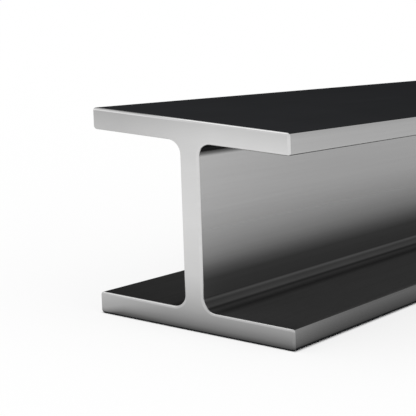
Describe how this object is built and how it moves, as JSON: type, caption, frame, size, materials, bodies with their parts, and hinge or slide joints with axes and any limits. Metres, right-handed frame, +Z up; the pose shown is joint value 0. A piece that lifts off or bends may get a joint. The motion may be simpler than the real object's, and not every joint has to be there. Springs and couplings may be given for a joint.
{
  "type": "steel h-beam",
  "caption": "Hot-rolled steel H-section cut to a short length, with equal parallel flanges, a thick central web, rounded roots and toes, and square sawn ends.",
  "frame": {"origin": "middle of the underside of the lower flange, half-way along the beam", "axes": "+X along the beam, +Y across the flanges, +Z up along the web"},
  "size_m": [1, 0.1, 0.096],
  "materials": {
    "rolled_steel": "satin rolled steel, near black on the level faces and pale grey on the web and toes, with bright sawn ends"
  },
  "bodies": {
    "root": {"h_beam": "rolled_steel"}
  },
  "joints": []
}
